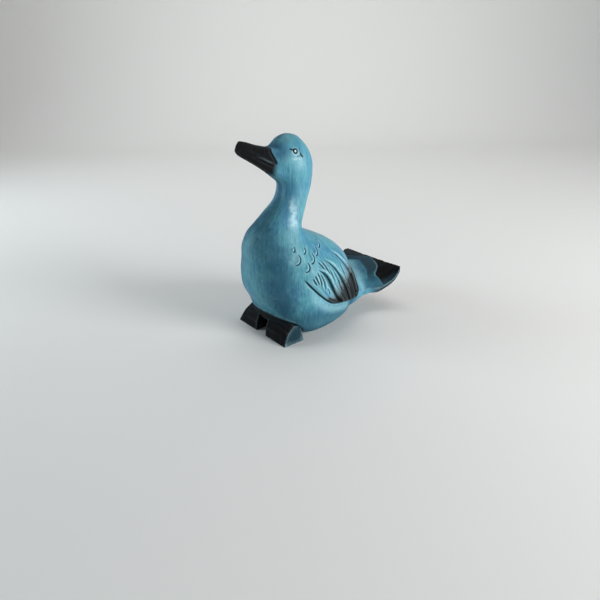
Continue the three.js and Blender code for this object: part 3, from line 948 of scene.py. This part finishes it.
# The teal of the painted shade, partly a thin dark coat of paint, then smoky and dusky teals.
SHADE_AND_WASH_TEAL, SMOKE_TEAL, DUSK_TEAL = "164a60", "173f58", "132c38"
BLACK_DEEP, BLACK_STREAK = "0a0a0c", "18181c"
TIP_GREY, TIP_BLACK = "6a8a94", "151a1c"
# Light paint for rubbed places and for the painted highlights, on teal and on black.
WORN_AND_HIGHLIT_TEAL, WORN_AND_HIGHLIT_BLACK = "a4d6e2", "5c6a70"
# Painted shade with dark staining in the hollows, on teal and on black.
SHADE_AND_STAIN_ON_TEAL, SHADE_AND_STAIN_ON_BLACK = "09303c", "040709"
PALE = "dfeaea"
BACKDROP_PAPER = "ececea"
DAYLIGHT = "e8ecef"
# The strokes run round a cylinder of this radius.
BRUSH_RADIUS = 45
BUMP_DEPTH = 0.25


def linear(colour):
    """A colour written as six hex digits, in the linear values that the shader takes."""
    values = []
    for i in (0, 2, 4):
        share = int(colour[i : i + 2], 16) / 255
        values.append(share / 12.92 if share <= 0.04045 else ((share + 0.055) / 1.055) ** 2.4)
    return values + [1]


def new_material(name):
    material = bpy.data.materials.new(name)
    material.use_nodes = True
    return material, material.node_tree.nodes["Principled BSDF"]


class Nodes:
    """Short names for the nodes that the paint is made of."""

    def __init__(self, material):
        self.tree = material.node_tree

    def add(self, kind, inputs=(), **settings):
        node = self.tree.nodes.new(kind)
        for key, value in settings.items():
            setattr(node, key, value)
        for key, value in dict(inputs).items():
            if isinstance(value, bpy.types.NodeSocket):
                self.tree.links.new(value, node.inputs[key])
            else:
                node.inputs[key].default_value = value
        return node

    def attribute(self, name):
        return self.add("ShaderNodeAttribute", attribute_name=name).outputs["Fac"]

    def maths(self, operation, a, b, clamp=False):
        return self.add("ShaderNodeMath", {0: a, 1: b}, operation=operation, use_clamp=clamp).outputs[0]

    def product(self, a, b):
        return self.maths("MULTIPLY", a, b)

    def total(self, a, b):
        return self.maths("ADD", a, b)

    def places(self, operation, a, b):
        return self.add("ShaderNodeVectorMath", {0: a, 1: b}, operation=operation).outputs[0]

    def mix(self, share, a, b):
        """Colour a where the share is 0 and colour b where it is 1, each a socket or six hex digits."""
        a, b = (linear(end) if isinstance(end, str) else end for end in (a, b))
        return self.add("ShaderNodeMix", {0: share, 6: a, 7: b}, data_type="RGBA").outputs[2]

    def span(self, value, low_end, high_end, to_low=0.0, to_high=1.0):
        inputs = {0: value, 1: low_end, 2: high_end, 3: to_low, 4: to_high}
        return self.add("ShaderNodeMapRange", inputs, interpolation_type="SMOOTHSTEP").outputs[0]

    def noise(self, place, stretch, detail, roughness=0.55):
        """Noise whose features are about as many millimetres wide as stretch says along each axis."""
        scale = [1 / (UNIT * size) for size in stretch]
        mapped = self.add("ShaderNodeMapping", {"Vector": place, "Scale": scale}).outputs[0]
        inputs = {"Vector": mapped, "Scale": 1.0, "Detail": detail, "Roughness": roughness}
        return self.add("ShaderNodeTexNoise", inputs).outputs["Fac"]

    def brush_place(self, place):
        """Places drawn onto an upright cylinder, so that strokes run down the skin from every level."""
        centred = self.places("SUBTRACT", place, [0, TOE_LINE + AXIS_PLACE * UNIT, 0])
        level = self.places("MULTIPLY", centred, [1, 1, 0])
        around = self.add("ShaderNodeVectorMath", {0: level}, operation="NORMALIZE").outputs[0]
        ring = self.places("MULTIPLY", around, [BRUSH_RADIUS * UNIT] * 3)
        height = self.places("MULTIPLY", place, [0, 0, 1])
        return self.places("ADD", ring, height)


def painted_wood():
    """Teal paint brushed down over dark staining, rubbed back on the edges and waxed, with painted shade
    and painted highlights.
    """
    material, shader = new_material("painted_wood")
    nodes = Nodes(material)

    place = nodes.add("ShaderNodeTexCoord").outputs["Object"]
    brush = nodes.brush_place(place)
    streaks = nodes.noise(brush, (2.2, 2.2, 26), 4)
    fine = nodes.noise(brush, (1.3, 1.3, 9), 3)
    patches = nodes.noise(place, (30, 30, 45), 2)
    mottle = nodes.noise(place, (5, 5, 9), 4, 0.6)
    specks = nodes.noise(place, (1.4, 1.4, 2.5), 4, 0.7)

    tone = nodes.total(nodes.product(streaks, 0.45), nodes.product(mottle, 0.3))
    tone = nodes.total(tone, nodes.product(patches, 0.25))
    teal = nodes.mix(nodes.span(tone, 0.38, 0.62), TEAL_DEEP, TEAL_BRIGHT)
    hue = nodes.mix(nodes.span(patches, 0.4, 0.6), PATCH_BLUE, PATCH_GREEN)
    teal = nodes.mix(0.42, teal, hue)
    teal = nodes.mix(nodes.span(fine, 0.53, 0.7, 0, 0.32), teal, BRUSHED_LIGHT)
    # Painted shade, partly a thin dark coat of paint, with smoky streaks that are stronger where it
    # lies.
    shade_and_wash = nodes.attribute("shade_and_wash")
    teal = nodes.mix(nodes.product(shade_and_wash, 0.76), teal, SHADE_AND_WASH_TEAL)
    smoke = nodes.span(nodes.total(streaks, mottle), 1.0, 1.3, 0, 0.55)
    smoke = nodes.product(smoke, nodes.total(nodes.product(shade_and_wash, 0.6), 0.4))
    teal = nodes.mix(smoke, teal, SMOKE_TEAL)
    gaps = nodes.span(nodes.maths("SUBTRACT", 1.0, fine), 0.53, 0.7, 0, 0.45)
    teal = nodes.mix(gaps, teal, BRUSHED_GAP)
    teal = nodes.mix(nodes.product(nodes.attribute("dusk"), 0.85), teal, DUSK_TEAL)

    in_black = nodes.attribute("black")
    in_tips = nodes.attribute("tips")
    black = nodes.mix(nodes.span(streaks, 0.45, 0.7), BLACK_DEEP, BLACK_STREAK)
    grain = nodes.product(nodes.span(fine, 0.35, 0.65, -0.15, 0.15), nodes.span(in_tips, 0, 0.25))
    tip_ramp = nodes.total(in_tips, grain)
    tips = nodes.mix(nodes.span(tip_ramp, 0.4, 0.9), TIP_GREY, TIP_BLACK)
    colour = nodes.mix(nodes.span(tip_ramp, 0.02, 0.45), teal, tips)
    colour = nodes.mix(in_black, colour, black)

    darkness = nodes.maths("MAXIMUM", in_black, nodes.span(in_tips, 0, 0.6))
    # Light paint for rubbed places and for the painted highlights.
    rubbed = nodes.mix(darkness, WORN_AND_HIGHLIT_TEAL, WORN_AND_HIGHLIT_BLACK)
    patchy = nodes.span(specks, 0.35, 0.6, 0.5, 1.0)
    wear_and_highlight_amount = nodes.maths("MULTIPLY", nodes.attribute("wear_and_highlight"), patchy, clamp=True)
    colour = nodes.mix(wear_and_highlight_amount, colour, rubbed)
    # Painted shade with dark staining in the hollows.
    shade_and_stain = nodes.mix(darkness, SHADE_AND_STAIN_ON_TEAL, SHADE_AND_STAIN_ON_BLACK)
    colour = nodes.mix(nodes.product(nodes.attribute("cavity"), 0.9), colour, shade_and_stain)
    colour = nodes.mix(nodes.attribute("pale"), colour, PALE)
    material.node_tree.links.new(colour, shader.inputs["Base Color"])

    shine = nodes.span(streaks, 0.3, 0.7, 0.36, 0.5)
    shine = nodes.total(shine, nodes.product(darkness, 0.4))
    shine = nodes.total(shine, nodes.product(shade_and_wash, 0.35))
    material.node_tree.links.new(shine, shader.inputs["Roughness"])
    shader.inputs["Specular IOR Level"].default_value = 0.22
    height = nodes.total(streaks, nodes.product(fine, 0.5))
    settings = {"Height": height, "Strength": 0.3, "Distance": BUMP_DEPTH * UNIT}
    bump = nodes.add("ShaderNodeBump", settings)
    material.node_tree.links.new(bump.outputs[0], shader.inputs["Normal"])
    return material


def pale_backdrop():
    material, shader = new_material("pale_backdrop")
    shader.inputs["Base Color"].default_value = linear(BACKDROP_PAPER)
    shader.inputs["Roughness"].default_value = 0.85
    return material


# The studio: a pale floor that sweeps up behind the bird, soft lights and the camera

CENTRE = (LOW + HIGH) / 2
FLOOR_REACH = 1.6
SWEEP_RADIUS = 0.7
SWEEP_STEPS = 16
SWEEP_RISE = 2.2
HALF_SHEET = 4


def make_backdrop(away):
    """A pale sheet that lies under the bird and sweeps up behind it, across the camera's view."""
    across = Vector((-away.y, away.x, 0))
    profile = [(-FLOOR_REACH, 0), (FLOOR_REACH, 0)]
    for i in range(1, SWEEP_STEPS + 1):
        angle = math.pi / 2 * i / SWEEP_STEPS
        reach = FLOOR_REACH + SWEEP_RADIUS * math.sin(angle)
        profile.append((reach, SWEEP_RADIUS * (1 - math.cos(angle))))
    profile.append((FLOOR_REACH + SWEEP_RADIUS, SWEEP_RISE))
    points = []
    for reach, rise in profile:
        middle = away * reach + Vector((0, 0, rise))
        points += [middle - across * HALF_SHEET, middle + across * HALF_SHEET]
    faces = [(2 * i, 2 * i + 1, 2 * i + 3, 2 * i + 2) for i in range(len(profile) - 1)]
    mesh = bpy.data.meshes.new("backdrop")
    mesh.from_pydata([list(point) for point in points], [], faces)
    mesh.polygons.foreach_set("use_smooth", [True] * len(faces))
    mesh.materials.append(pale_backdrop())
    backdrop = add_object("backdrop", mesh)


def make_light(name, place, aim, size, power, colour=(1, 1, 1)):
    """A soft round lamp at a place, turned towards its aim."""
    light = bpy.data.lights.new(name, "AREA")
    light.shape = "DISK"
    light.size = size
    light.energy = power
    light.color = colour
    lamp = add_object(name, light)
    lamp.location = place
    lamp.rotation_euler = (place - aim).to_track_quat("Z", "Y").to_euler()


def make_lights(back):
    """A window at the camera's right, a weak one at its left, and a lamp each for floor and wall."""
    level = Vector((back.x, back.y, 0)).normalized()
    right = Vector((-level.y, level.x, 0))
    up = Vector((0, 0, 1))
    make_light("window", CENTRE + right * 1.3 + level * 0.75 + up * 0.4, CENTRE, 0.8, 24.3)
    make_light("fill", CENTRE - right * 1.5 - level * 0.1 + up * 0.3, CENTRE, 0.9, 12.5, (0.82, 0.95, 1))
    overhead = CENTRE - level * 1.3 + up * 2.4
    make_light("overhead", overhead, overhead - up - level * 0.6, 3, 29)
    make_light("wall", CENTRE - level * 0.5 + up * 1.5, CENTRE - level * 2.3 + up * 0.5, 1.2, 4)


# The camera's place and view, as the photograph's perspective gives them.
CAMERA_AZIMUTH = math.radians(51.9)
CAMERA_ELEVATION = math.radians(24.4)
CAMERA_ROLL = math.radians(-0.95)
CAMERA_DISTANCE = 0.6132
CAMERA_AIM = Vector((0.01536, -0.03939, 0.03478))
CAMERA_LENS = 29.82


def make_camera():
    """Places the camera, and returns the direction from the bird back to it."""
    level = math.cos(CAMERA_ELEVATION)
    ahead = Vector((math.sin(CAMERA_AZIMUTH), -math.cos(CAMERA_AZIMUTH), 0))
    back = ahead * level + Vector((0, 0, math.sin(CAMERA_ELEVATION)))
    side = Vector((0, 0, 1)).cross(back).normalized()
    up = back.cross(side)
    right = side * math.cos(CAMERA_ROLL) + up * math.sin(CAMERA_ROLL)
    data = bpy.data.cameras.new("camera")
    data.sensor_width = 36
    data.lens = CAMERA_LENS
    camera = add_object("camera", data)
    turn = Matrix((right, back.cross(right), back)).transposed()
    camera.matrix_world = Matrix.Translation(CAMERA_AIM + back * CAMERA_DISTANCE) @ turn.to_4x4()
    bpy.context.scene.camera = camera
    return back


def make_world():
    world = bpy.data.worlds.new("studio")
    world.use_nodes = True
    background = world.node_tree.nodes["Background"]
    background.inputs["Color"].default_value = linear(DAYLIGHT)
    background.inputs["Strength"].default_value = 0.12
    bpy.context.scene.world = world


back = make_camera()
make_backdrop(Vector((-back.x, -back.y, 0)).normalized())
make_world()
make_lights(back)
bpy.context.scene.view_settings.view_transform = "Standard"

duck = make_duck()
duck.data.materials.clear()
duck.data.materials.append(painted_wood())
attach(duck, "root")
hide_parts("duck")
